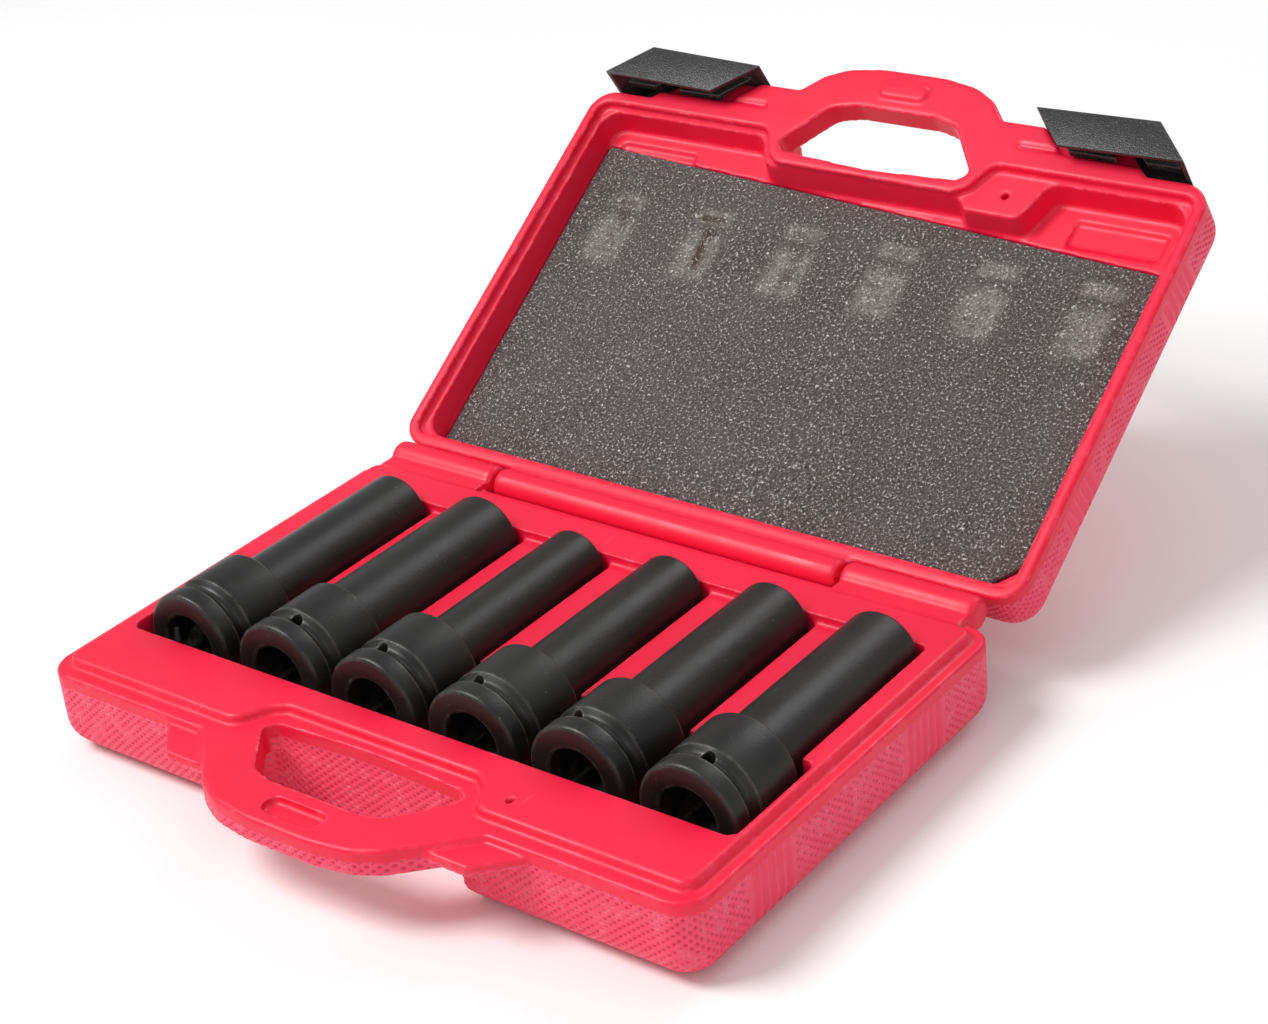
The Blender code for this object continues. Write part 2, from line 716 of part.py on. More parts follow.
def main():
    clear_scene()
    parts = new_collection("socket_wrench_set_in_case")
    cutters = new_collection("cutters")
    cutters.hide_render = True
    pivot = bpy.data.objects.new("lid_pivot", None)
    parts.objects.link(pivot)
    pivot.location = (PIVOT[0] * MM, PIVOT[1] * MM, PIVOT[2] * MM)
    pivot.rotation_euler = (-math.radians(LID_OPEN), 0, 0)
    fixed = Frame(None, WORLD, parts, cutters)
    lid_frame = Frame(pivot, PIVOT, parts, cutters)

    red_base = make_material("red_base", (0.80, 0.02, 0.06), 0.45)
    red_lid = make_material("red_lid", (0.80, 0.02, 0.06), 0.45)
    build_base(fixed, red_base)
    build_lid(lid_frame, red_lid)
    build_foam(lid_frame, make_material("foam_grey", (0.09, 0.08, 0.08), 0.95))
    build_latch(lid_frame, "latch_left", -1, make_material("latch_black_left", (0.03, 0.03, 0.03), 0.5))
    build_latch(lid_frame, "latch_right", 1, make_material("latch_black_right", (0.03, 0.03, 0.03), 0.5))
    left_steel = make_material("pin_steel_left", (0.55, 0.55, 0.56), 0.35, 1.0)
    right_steel = make_material("pin_steel_right", (0.55, 0.55, 0.56), 0.35, 1.0)
    build_pin(fixed, "hinge_pin_left", (KNUCKLES[0][1] + KNUCKLES[1][0]) / 2, left_steel)
    build_pin(fixed, "hinge_pin_right", (KNUCKLES[1][1] + KNUCKLES[2][0]) / 2, right_steel)
    for index in range(len(SOCKETS)):
        steel = make_material("black_oxide_%d" % (index + 1), (0.035, 0.036, 0.035), 0.5, 0.6)
        build_socket(fixed, index, steel)


main()
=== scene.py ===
"""Looks of the socket wrench set: a red blow-moulded case, black impact sockets, foam and latches.

Every piece is drawn in millimetres in the part's own frame (origin under the base, +X right,
+Y to the hinge, +Z up) and turned into metres by MM.  Pieces of the lid are drawn shut and are
turned open about the hinge line.
"""
import math

import bmesh
import bpy
import numpy as np
from mathutils import Matrix, Vector, noise


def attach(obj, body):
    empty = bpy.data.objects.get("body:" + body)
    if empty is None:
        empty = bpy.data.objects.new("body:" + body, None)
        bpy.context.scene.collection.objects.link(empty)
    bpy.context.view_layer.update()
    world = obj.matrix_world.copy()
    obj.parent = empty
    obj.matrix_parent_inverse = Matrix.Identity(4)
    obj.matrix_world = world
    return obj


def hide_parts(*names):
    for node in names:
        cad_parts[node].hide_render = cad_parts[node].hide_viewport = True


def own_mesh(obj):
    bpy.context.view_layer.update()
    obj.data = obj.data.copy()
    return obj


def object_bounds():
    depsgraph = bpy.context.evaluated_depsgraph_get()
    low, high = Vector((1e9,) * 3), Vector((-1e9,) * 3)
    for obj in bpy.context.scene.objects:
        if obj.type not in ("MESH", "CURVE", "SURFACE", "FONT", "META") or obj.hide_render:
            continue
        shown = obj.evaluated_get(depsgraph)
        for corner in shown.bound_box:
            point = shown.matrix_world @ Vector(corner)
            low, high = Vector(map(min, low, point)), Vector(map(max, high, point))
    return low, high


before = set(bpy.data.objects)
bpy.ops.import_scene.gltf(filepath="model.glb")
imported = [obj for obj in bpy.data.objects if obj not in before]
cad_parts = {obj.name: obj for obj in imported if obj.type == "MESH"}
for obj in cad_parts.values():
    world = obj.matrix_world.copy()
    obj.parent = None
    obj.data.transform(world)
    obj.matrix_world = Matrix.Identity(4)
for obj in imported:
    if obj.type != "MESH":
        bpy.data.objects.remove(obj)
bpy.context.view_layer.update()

MM = 0.001
VOXEL = 1.0

# Case
HALF_W = 163.0
HALF_D = 103.0
BASE_H = 37.0
LID_Z = 37.4
LID_TOP = 67.4
CORNER = 13.0
EDGE_ROUND = 14.0
DECK_Z = 41.0
HINGE_Y = 111.0
HINGE_Z = 37.2
BARREL_R = 7.2
KNUCKLES = ((-156.0, -98.0), (-94.7, 84.7), (88.0, 150.0))
OPEN_DEG = 146.6
RAIL_X = 130.6

# Latch channel
LATCH_T = 2.0
LATCH_WALL_Y = -120.3
LATCH_X = (92.0, 152.5)
LATCH_LOW = (26.8, 23.2)  # underside where the slope ends near the handle, and at the outer end
LATCH_TOP = 51.8
LATCH_WEBS = ((97.0, 120.0), (134.0, 151.0))
LATCH_END_T = 2.2
LATCH_INNER_Y = -103.8
LATCH_SLOPE_OVERRUN = 20.0  # the slope is reckoned this far past the inner end
WEB_Y = -107.5
LIP_Y = -109.3

# Raised deck of the base
DECK_X = 157.0
DECK_FRONT = -95.5
DECK_BACK = 96.0
DECK_BAY = (54.0, -78.0)
DECK_GAP = 0.9

# Handle plate, flanges, latch rail and ledges
PLATE_T = 12.0
PLATE_ROUND = 1.5
WALL_Y = -103.5
FLANGE_Y = -120.0
BASE_BAY_X = 57.0
LID_BAY_X = 53.0
BAY_Y = -85.5
BAY_WALL_X = 56.0
BAY_WALL_Y = (-90.0, -80.0)
LEDGE_X = 91.2
LEDGE_Z = (29.4, 34.2)
GROOVE_X = (67.0, 129.5)
GROOVE_Y = (-109.6, -107.2)
GROOVE_DEPTH = 1.8
VENT_X = 70.0
BASE_VENT_Y = -85.5
LID_VENT_Y = -84.0
VENT_R = 1.9
KNUCKLE_REACH = 0.8

# Lid recess
SHELF_Z = LID_Z + 16.5
POCKET_Z = 60.7

# Trough, slots and sockets
PITCH = 50.6
SLOT_MID = 2.4
SOCKET_MID = 1.5
SOCKET_Z = 35.4
FACE_Y = -57.2
LENGTH = 132.0
COLLAR_R = 22.0
COLLAR_L = 39.5
TUBES = (16.2, 18.0, 14.2, 15.3, 16.2, 16.8)
MIDDLE = (len(TUBES) - 1) / 2
NOSES = (10.2, 11.6, 9.0, 9.8, 10.8, 11.6)
DRIVE_SQ = 19.3
DRIVE_DEPTH = 28.0
NOSE_DEPTH = 62.0
THROUGH_R = 6.5
PIN_HOLE_R = 3.1
BORE_RIM_R = 12.4
PIN_TURNS = (173.0, 7.0, -7.0, -12.0, -21.0, 7.0)
SLOT_GAP = 1.8
SLOT_FRONT = -21.0
SLOT_BACK = 76.0
SLOT_ENDS = ((SLOT_FRONT, 1.0), (SLOT_BACK - 3.0, 1.0), (SLOT_BACK - 0.9, 0.97), (SLOT_BACK, 0.9))
TROUGH = (-149.0, 153.2, -64.0, -13.0)

# Foam sheet, drawn at its free thickness; the shut lid presses it flat on the collars
FOAM_X = (-151.5, 152.0)
FOAM_Z = (52.9, 60.3)
FOAM_SPAN = (303.0, 160.0)
FOAM_FRONT = ((-151.0, -81.0), (150.0, -65.0))
FOAM_BACK_Y = 91.3
FOAM_CORNER_X = 138.0
FOAM_CORNER_SLOPE = 0.95

# Pattern moulded into the outer walls
PIT_U = 4.2
PIT_V = 3.5
PIT_DEPTH = 0.85
FLUTES = ((-68.0, -43.0), (34.5, 59.5))
FLUTE_PITCH = 5.0
FLUTE_DEPTH = 1.3
PLAIN_BAND = 5.2


# ------------------------------------------------------------------ outlines


def rounded(corners, steps=6):
    """Outline through (x, y, radius) corners, each turned into a short arc."""
    out = []
    count = len(corners)
    for i, (x, y, radius) in enumerate(corners):
        if radius <= 0:
            out.append((x, y))
            continue
        ax, ay, _ = corners[i - 1]
        bx, by, _ = corners[(i + 1) % count]
        ua = math.hypot(ax - x, ay - y)
        ub = math.hypot(bx - x, by - y)
        ux, uy = (ax - x) / ua, (ay - y) / ua
        vx, vy = (bx - x) / ub, (by - y) / ub
        half = math.acos(max(-1.0, min(1.0, ux * vx + uy * vy))) / 2
        reach = radius / math.tan(half)
        mx, my = ux + vx, uy + vy
        length = math.hypot(mx, my)
        cx = x + mx / length * radius / math.sin(half)
        cy = y + my / length * radius / math.sin(half)
        start = math.atan2(y + uy * reach - cy, x + ux * reach - cx)
        end = math.atan2(y + vy * reach - cy, x + vx * reach - cx)
        turn = (end - start + math.pi) % (2 * math.pi) - math.pi
        for k in range(steps + 1):
            angle = start + turn * k / steps
            out.append((cx + radius * math.cos(angle), cy + radius * math.sin(angle)))
    return out


def rect(x0, x1, y0, y1, radius=0.0, steps=6):
    """Rectangle whose corners may be rounded."""
    return rounded([(x0, y0, radius), (x1, y0, radius), (x1, y1, radius), (x0, y1, radius)], steps)


def mirrored(points):
    """Outline mirrored in the middle plane of the case, turning the same way as before."""
    return [(-x, y) for x, y in reversed(points)]


def both_sides(right):
    """Closed outline from its right half, listed from the middle of one edge to the other."""
    left = [(-x, y, r) for x, y, r in reversed(right) if x > 0]
    return rounded(right + left)


def area(points):
    """Signed area of an outline."""
    total = 0.0
    for i, (x, y) in enumerate(points):
        px, py = points[i - 1]
        total += px * y - x * py
    return total / 2


def offset(points, distance):
    """Outline moved outwards by distance, corners mitred."""
    sign = 1.0 if area(points) > 0 else -1.0
    out = []
    count = len(points)
    for i in range(count):
        x, y = points[i]
        ax, ay = points[i - 1]
        bx, by = points[(i + 1) % count]
        n1 = Vector((y - ay, ax - x)).normalized()
        n2 = Vector((by - y, x - bx)).normalized()
        mid = n1 + n2
        if mid.length < 1e-6:
            mid = n1.copy()
        mid.normalize()
        scale = 1.0 / max(0.5, mid.dot(n1))
        out.append((x + sign * mid.x * distance * scale, y + sign * mid.y * distance * scale))
    return out


# ------------------------------------------------------------------ solids


def loft(rings):
    """Closed mesh through rings of equal point count, capped at both ends."""
    work = bmesh.new()
    rows = [[work.verts.new(p) for p in ring] for ring in rings]
    count = len(rows[0])
    for low, high in zip(rows, rows[1:]):
        for i in range(count):
            j = (i + 1) % count
            work.faces.new((low[i], low[j], high[j], high[i]))
    work.faces.new(list(reversed(rows[0])))
    work.faces.new(rows[-1])
    bmesh.ops.recalc_face_normals(work, faces=work.faces)
    mesh = bpy.data.meshes.new("solid")
    work.to_mesh(mesh)
    work.free()
    return mesh


def fillet_levels(z0, z1, low, high, steps=4):
    """(height, inset) pairs of a side wall with rounded lower and upper edges."""
    levels = []
    if low > 0:
        for k in range(steps):
            angle = math.pi / 2 * k / steps
            levels.append((z0 + low * (1 - math.cos(angle)), low * (1 - math.sin(angle))))
    levels.append((z0 + low, 0.0))
    levels.append((z1 - high, 0.0))
    if high > 0:
        for k in range(1, steps + 1):
            angle = math.pi / 2 * k / steps
            levels.append((z1 - high * (1 - math.sin(angle)), high * (1 - math.cos(angle))))
    return levels


def solid(points, z0, z1, low=0.0, high=0.0):
    """Prism between two heights whose lower and upper edges may be rounded."""
    rings = []
    for z, inset in fillet_levels(z0, z1, low, high):
        ring = offset(points, -inset) if inset > 1e-9 else points
        rings.append([(x, y, z) for x, y in ring])
    return loft(rings)


def tapered(points, z0, z1, grow):
    """Prism whose outline is larger by grow at the first height."""
    return loft([[(x, y, z0) for x, y in offset(points, grow)], [(x, y, z1) for x, y in points]])


def case_body(z_flat, z_round, radius):
    """Rounded box whose far face is joined to the walls by a wide round."""
    rings = []
    way = 1.0 if z_round > z_flat else -1.0
    for z, inset in ((z_flat, 0.7), (z_flat + way * 0.3, 0.25), (z_flat + way * 0.9, 0.0)):
        rings.append((z, inset))
    for k in range(9):
        angle = math.pi / 2 * k / 8
        rings.append((z_round - way * radius * (1 - math.sin(angle)), radius * (1 - math.cos(angle))))
    out = []
    for z, inset in rings:
        half_w, half_d = HALF_W - inset, HALF_D - inset
        ring = rect(-half_w, half_w, -half_d, half_d, max(CORNER - inset * 0.6, 3.0), 10)
        out.append([(x, y, z) for x, y in ring])
    return loft(out)


def barrel(x0, x1, radius, dome):
    """Hinge knuckle: a rod along X whose ends are rounded over."""
    ends = []
    for k in range(7):
        angle = math.pi / 2 * k / 6
        ends.append((dome * (1 - math.cos(angle)), radius - dome * (1 - math.sin(angle))))
    rows = [(x0 + d, r) for d, r in ends] + [(x1 - d, r) for d, r in reversed(ends)]
    rings = []
    for x, r in rows:
        ring = []
        for k in range(40):
            angle = 2 * math.pi * k / 40
            ring.append((x, HINGE_Y + r * math.cos(angle), HINGE_Z + r * math.sin(angle)))
        rings.append(ring)
    return loft(rings)


def rod(radius, z0, z1, x, y, steps=24):
    """Upright cylinder between two heights."""
    ring = [
        (x + radius * math.cos(2 * math.pi * k / steps), y + radius * math.sin(2 * math.pi * k / steps))
        for k in range(steps)
    ]
    return solid(ring, z0, z1)


def scratch(mesh):
    """Object that carries a mesh while modifiers work on it."""
    obj = bpy.data.objects.new("scratch", mesh)
    bpy.context.scene.collection.objects.link(obj)
    return obj


class Steps(list):
    """Solids to add to a shape or cut out of it, in order."""

    def add(self, mesh):
        self.append(("UNION", mesh))

    def cut(self, mesh):
        self.append(("DIFFERENCE", mesh))


def carve(start, steps):
    """Mesh made from a start solid and a list of (operation, mesh) steps, in order."""
    target = scratch(start)
    tools = []
    for operation, mesh in steps:
        tool = scratch(mesh)
        tool.hide_render = True
        tools.append(tool)
        mod = target.modifiers.new("step", "BOOLEAN")
        mod.operation = operation
        mod.solver = "EXACT"
        mod.object = tool
    return bake(target, tools)


def bake(target, tools=()):
    """Mesh of an object after its modifiers; the object and its tools are removed."""
    graph = bpy.context.evaluated_depsgraph_get()
    mesh = bpy.data.meshes.new_from_object(target.evaluated_get(graph))
    for obj in (*tools, target):
        bpy.data.objects.remove(obj, do_unlink=True)
    return mesh


def soften(mesh, voxel, rounds):
    """Even skin over the solid with its sharp edges worn round, as blow-moulding leaves them."""
    target = scratch(mesh)
    remesh = target.modifiers.new("skin", "REMESH")
    remesh.mode = "VOXEL"
    remesh.voxel_size = voxel
    smooth = target.modifiers.new("round", "SMOOTH")
    smooth.factor = 0.5
    smooth.iterations = rounds
    return bake(target)


def refine(mesh, chooser):
    """Splits the faces picked by chooser(centre, normal) once, for finely moulded areas."""
    work = bmesh.new()
    work.from_mesh(mesh)
    edges = set()
    for face in work.faces:
        if chooser(face.calc_center_median(), face.normal):
            edges.update(face.edges)
    bmesh.ops.subdivide_edges(work, edges=list(edges), cuts=1, use_grid_fill=True)
    work.to_mesh(mesh)
    work.free()


def arrays(mesh):
    """Positions and normals of the vertices, one row each."""
    count = len(mesh.vertices)
    co = np.empty(count * 3)
    mesh.vertices.foreach_get("co", co)
    no = np.empty(count * 3)
    mesh.vertices.foreach_get("normal", no)
    return co.reshape(-1, 3), no.reshape(-1, 3)


def ramp(value, low, high):
    """Smooth step of an array from 0 at low to 1 at high."""
    t = np.clip((value - low) / (high - low), 0.0, 1.0)
    return t * t * (3 - 2 * t)


def paint(mesh, **layers):
    """Stores a value for each vertex under each name, for the materials to read."""
    for name, values in layers.items():
        mesh.attributes.new(name, "FLOAT", "POINT").data.foreach_set("value", values)


def along_wall(x, y):
    """Length along the case's outline from the middle of a side, the same in each quarter."""
    ax, ay = np.abs(x), np.abs(y)
    cx = np.minimum(ax, HALF_W - CORNER)
    cy = np.minimum(ay, HALF_D - CORNER)
    phi = np.arctan2(np.maximum(ay - cy, 0.0), np.maximum(ax - cx, 1e-6))
    return cy + CORNER * phi + (HALF_W - CORNER - cx)


def is_wall(co, no):
    """1 on the outside walls of the case and of its handle, 0 elsewhere."""
    outward = np.zeros(len(co))
    side = np.abs(co[:, 0]) > HALF_W - CORNER
    outward = np.where(side, np.maximum(outward, no[:, 0] * np.sign(co[:, 0])), outward)
    back = co[:, 1] > HALF_D - CORNER
    outward = np.where(back, np.maximum(outward, no[:, 1]), outward)
    front = co[:, 1] < -HALF_D + CORNER
    outward = np.where(front, np.maximum(outward, -no[:, 1]), outward)
    near, far = BAY_WALL_Y
    bay = (np.abs(co[:, 0]) < BAY_WALL_X) & (co[:, 1] > near) & (co[:, 1] < far)
    outward = np.where(bay, np.maximum(outward, -no[:, 1]), outward)
    return ramp(outward, 0.3, 0.55)


def mould_pattern(mesh, band_low, band_high):
    """Presses the staggered pits and the side flutes into the outer walls."""
    co, no = arrays(mesh)
    x, y, z = co.T
    wall = is_wall(co, no)
    barrels = (y > HALF_D + 0.8) & (np.abs(z - HINGE_Z) < 9)
    wall = np.where(barrels, 0.0, wall)
    height = ramp(z, band_low, band_low + 0.6) * (1 - ramp(z, band_high - 0.6, band_high))
    near_side = np.abs(x) > HALF_W - 1.5
    flute_area = np.zeros(len(co))
    flute = np.zeros(len(co))
    for y0, y1 in FLUTES:
        inside = ramp(y, y0 - 0.4, y0) * (1 - ramp(y, y1, y1 + 0.4)) * near_side
        around = ramp(y, y0 - 3, y0 - 2) * (1 - ramp(y, y1 + 2, y1 + 3)) * near_side
        flute_area = np.maximum(flute_area, around)
        flute += inside * (0.5 - 0.5 * np.cos(2 * math.pi * (y - y0) / FLUTE_PITCH))
    u = along_wall(x, y)
    lattice = np.cos(2 * math.pi * u / PIT_U) * np.cos(2 * math.pi * z / PIT_V)
    pit = np.clip(lattice, 0.0, 1.0) ** 1.3
    depth = PIT_DEPTH * pit * (1 - flute_area) + FLUTE_DEPTH * flute
    moulded = wall * height * (1 - ramp(np.abs(no[:, 2]), 0.75, 0.95))
    depth = depth * moulded
    # The mask of the pits also tells the red material where to paint shade, and the moulded mask tells
    # it where to paint a paler sheen on the walls.
    paint(mesh, pit=pit * (1 - flute_area) * moulded, moulded=moulded)
    co = co - no * depth[:, None]
    mesh.vertices.foreach_set("co", co.ravel())
    mesh.update()


def smooth_all(mesh, sharp_angle=None):
    """Shades every face smooth, keeping edges above the given angle sharp."""
    mesh.polygons.foreach_set("use_smooth", [True] * len(mesh.polygons))
    if sharp_angle is not None:
        mesh.set_sharp_from_angle(angle=math.radians(sharp_angle))
    mesh.update()


def to_metres(mesh):
    """Scales a mesh from millimetres to metres."""
    mesh.transform(Matrix.Scale(MM, 4))
    mesh.update()


def piece(name, mesh, material, body, node, place=None):
    """Adds a finished piece that rides on a body and stands for a CAD node."""
    mesh.name = name
    obj = bpy.data.objects.new(name, mesh)
    bpy.context.scene.collection.objects.link(obj)
    mesh.materials.clear()
    mesh.materials.append(material)
    if place is not None:
        obj.matrix_world = place
    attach(obj, body)
    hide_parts(node)
    return obj


# ------------------------------------------------------------------ shapes of the case


def deck_outline(grow=0.0):
    """Raised deck of the base, with a bay at the front that leaves room for the handle hole."""
    side, front, back = DECK_X + grow, DECK_FRONT - grow, DECK_BACK + grow
    bay_x, bay_y = DECK_BAY[0] - grow, DECK_BAY[1] - grow
    return rounded(
        [
            (-side, front, 5.5 + grow),
            (-bay_x - 7, front, 7),
            (-bay_x, front + 13, 6),
            (-bay_x + 6, bay_y, 6),
            (bay_x - 6, bay_y, 6),
            (bay_x, front + 13, 6),
            (bay_x + 7, front, 7),
            (side, front, 5.5 + grow),
            (side, back, 5.5 + grow),
            (-side, back, 5.5 + grow),
        ]
    )


def handle_hole():
    """Opening for the fingers."""
    return both_sides(
        [
            (0.0, -83.0, 0),
            (46.0, -85.5, 4),
            (51.0, -90.0, 3),
            (33.0, -113.0, 12),
            (20.0, -116.0, 14),
        ]
    )


def handle_bay(half_width):
    """Where the case wall stands back behind the grip to make room for the fingers."""
    return rect(-half_width, half_width, -150.0, BAY_Y, 8.0)


def handle_outline(shoulder_x, shoulder_y):
    """Outline of the grip plate, widest at its shoulders."""
    return both_sides(
        [
            (0.0, -92.0, 0),
            (shoulder_x, -92.0, 0),
            (shoulder_x, shoulder_y, 1.0 if shoulder_x < 60 else 0),
            (45.0, -129.5, 8),
            (34.0, -135.2, 25),
            (16.0, -138.0, 40),
        ]
    )


def slanted(x0, x1, y0, y1):
    """Outline between two depths whose ends lean forty-five degrees towards the handle."""
    return [
        (x0 + y0 - WALL_Y, y0),
        (x1 + y0 - WALL_Y, y0),
        (x1 + y1 - WALL_Y, y1),
        (x0 + y1 - WALL_Y, y1),
    ]


def slot_x(i):
    """Middle of the tube slot for a socket."""
    return SLOT_MID + PITCH * (i - MIDDLE)


def socket_x(i):
    """Middle line of a socket."""
    return SOCKET_MID + PITCH * (i - MIDDLE)


def moulded_half(mesh, fine, patterned):
    """Softened skin of half a case: heights between which its walls are fine, and patterned."""
    mesh = soften(mesh, VOXEL, 3)
    low, high = fine
    refine(mesh, lambda c, n: low < c.z < high and on_wall(c, n))
    mould_pattern(mesh, *patterned)
    smooth_all(mesh)
    to_metres(mesh)
    return mesh


def slot_cutter(x, half):
    """Round-bottomed slot for a tube, its far end drawn in a little."""
    profile = [(half, 30.0), (-half, 30.0)]
    for k in range(13):
        angle = math.pi + math.pi * k / 12
        profile.append((half * math.cos(angle), half * math.sin(angle)))
    rows = []
    for y, shrink in SLOT_ENDS:
        row = []
        for px, pz in profile:
            row.append((x + px * shrink, y, SOCKET_Z + pz * (1 if pz > 0 else shrink)))
        rows.append(row)
    return loft(rows)


def base_mesh():
    """Base of the case: deck, grip, ledges and outer knuckles added, bay, trough and slots cut out."""
    floor = SOCKET_Z - COLLAR_R - 0.4
    steps = Steps()
    steps.add(solid(deck_outline(), BASE_H - 2, DECK_Z, 0, 1.8))
    steps.add(solid(handle_outline(72.0, WALL_Y), BASE_H - PLATE_T, BASE_H, PLATE_ROUND, PLATE_ROUND))
    for side in (1, -1):
        ledge = slanted(64.0, LEDGE_X, -119.0, -99.0)
        ledge = ledge if side > 0 else mirrored(ledge)
        steps.add(solid(ledge, *LEDGE_Z, 0.6, 1.2))
    for x0, x1 in (KNUCKLES[0], KNUCKLES[2]):
        arm = rect(x0 + 1, x1 - 1, 96, HINGE_Y)
        steps.add(solid(arm, HINGE_Z - BARREL_R + 0.3, HINGE_Z + 3))
        steps.add(barrel(x0 - KNUCKLE_REACH, x1 + KNUCKLE_REACH, BARREL_R, 3.0))
    steps.cut(solid(handle_hole(), -5, 60))
    steps.cut(solid(handle_bay(BASE_BAY_X), -5, BASE_H - PLATE_T))
    steps.cut(tapered(rect(*TROUGH, 4.0), 60, floor, 1.2))
    first, last = slot_x(0) - TUBES[0] - SLOT_GAP, slot_x(5) + TUBES[5] + SLOT_GAP
    steps.cut(solid(rect(first, last, SLOT_FRONT - 2.0, SLOT_BACK, 3.0), 37.0, 60))
    for i, tube in enumerate(TUBES):
        steps.cut(slot_cutter(slot_x(i), tube + SLOT_GAP))
    steps.cut(solid(rect(-14.0, 14.0, -131.5, -122.0, 4.0), BASE_H - 3.0, 55))
    steps.cut(rod(VENT_R, 30, 60, VENT_X, BASE_VENT_Y))
    # small dent in the front wall, left of the handle
    steps.cut(solid(rect(-79.0, -71.0, -110.0, -101.0, 2.0), 10.0, 25.5))
    mesh = carve(case_body(BASE_H, 0.0, EDGE_ROUND), steps)
    return moulded_half(mesh, (1.0, BASE_H - PLAIN_BAND + 1), (-5.0, BASE_H - PLAIN_BAND))


def on_wall(c, n):
    """True for a face on the outside walls of the case or of its handle."""
    if abs(c.x) > HALF_W - CORNER and n.x * c.x > 0.3 * abs(c.x):
        return True
    if c.y > HALF_D - CORNER and n.y > 0.3:
        return c.y < HALF_D + 1
    if abs(c.x) < BAY_WALL_X and BAY_WALL_Y[0] < c.y < BAY_WALL_Y[1]:
        return n.y < -0.3
    return c.y < -HALF_D + CORNER and n.y < -0.3


def recess_outline():
    """Deep recess of the lid, stepping round the handle bay and the vent mound."""
    side, front, back = 153.0, -92.0, 92.5
    bay_x, bay_y = 57.0, -76.5
    mound_x, mound_y = 86.0, -71.5
    return rounded(
        [
            (-side, front, 8),
            (-bay_x - 7, front, 7),
            (-bay_x, front + 13, 6),
            (-bay_x + 6, bay_y, 6),
            (bay_x - 8, bay_y, 3),
            (bay_x - 4, mound_y, 4),
            (mound_x - 4, mound_y, 6),
            (mound_x + 4, front, 5),
            (side, front, 8),
            (side, back, 8),
            (-side, back, 8),
        ]
    )


def lid_mesh():
    """Lid drawn shut: grip, rail and middle knuckle added, bay, recess and foam pocket cut out."""
    flange_z = LID_Z + PLATE_T
    steps = Steps()
    steps.add(solid(handle_outline(54.0, FLANGE_Y), LID_Z, flange_z, PLATE_ROUND, PLATE_ROUND))
    half = slanted(0.0, RAIL_X, -107.0, -98.0)[1:3]
    steps.add(solid(half + mirrored(half), LID_Z, flange_z, 0.8, 1.0))
    for side in (1, -1):
        flange = [(50.0, FLANGE_Y), (75.5, FLANGE_Y), (92.0, -104.0), (92.0, -100.0), (50.0, -100.0)]
        flange = flange if side > 0 else mirrored(flange)
        steps.add(solid(flange, LID_Z, flange_z, 1.0, 1.2))
        lower = slanted(60.0, RAIL_X, FLANGE_Y, -99.0)
        lower = lower if side > 0 else mirrored(lower)
        steps.add(solid(lower, LID_Z + 3.2, flange_z, 0, 1.0))
    steps.add(solid(rect(-12.0, 12.0, -130.5, -122.5, 3.0), LID_Z - 1.8, LID_Z + 1, 0.8, 0))
    x0, x1 = KNUCKLES[1]
    arm = rect(x0 + 1, x1 - 1, 96, HINGE_Y)
    steps.add(solid(arm, HINGE_Z - 3, HINGE_Z + BARREL_R - 0.3))
    steps.cut(solid(rect(x0 - 2, x1 + 2, 90, HINGE_Y - 4), 10, LID_Z))
    steps.add(barrel(x0 - KNUCKLE_REACH, x1 + KNUCKLE_REACH, BARREL_R, 2.0))
    steps.cut(solid(handle_hole(), 10, 90))
    steps.cut(solid(handle_bay(LID_BAY_X), flange_z, 90))
    steps.cut(solid(deck_outline(DECK_GAP), 20, LID_Z + 4.4))
    steps.cut(tapered(recess_outline(), LID_Z + 3.4, SHELF_Z, 2.2))
    steps.cut(solid(offset(foam_outline(), 0.8), LID_Z + 8, POCKET_Z))
    for side in (1, -1):
        groove = rect(*sorted(side * x for x in GROOVE_X), *GROOVE_Y)
        steps.cut(solid(groove, 30, LID_Z + GROOVE_DEPTH))
        panel = rect(*sorted((side * 101.0, side * 146.0)), -85.5, -71.0, 2.5)
        steps.cut(solid(panel, LID_Z + 5, SHELF_Z + 1.6))
    steps.cut(rod(VENT_R, 20, flange_z, VENT_X, LID_VENT_Y))
    mesh = carve(case_body(LID_Z, LID_TOP, EDGE_ROUND - 2), steps)
    return moulded_half(mesh, (LID_Z + PLAIN_BAND - 1, LID_TOP - 1), (LID_Z + PLAIN_BAND, 90.0))


# ------------------------------------------------------------------ latches, foam, sockets


def bevelled(mesh, width, segments, angle=30.0):
    """Mesh with its sharper edges bevelled."""
    target = scratch(mesh)
    mod = target.modifiers.new("edge", "BEVEL")
    mod.width = width
    mod.segments = segments
    mod.limit_method = "ANGLE"
    mod.angle_limit = math.radians(angle)
    return bake(target)


def arm_level(x):
    """Underside of a latch, rising towards the handle so that the latch draws tight."""
    share = (LATCH_X[1] - abs(x)) / (LATCH_X[1] - LATCH_X[0] + LATCH_SLOPE_OVERRUN)
    return LATCH_LOW[1] + share * (LATCH_LOW[0] - LATCH_LOW[1])


def latch_slab(points, top):
    """Slab standing on the latch's sloping underside, up to a level or of even thickness."""
    low = [(x, y, arm_level(x)) for x, y in points]
    high = [(x, y, z + LATCH_T if top is None else top) for x, y, z in low]
    return loft([low, high])


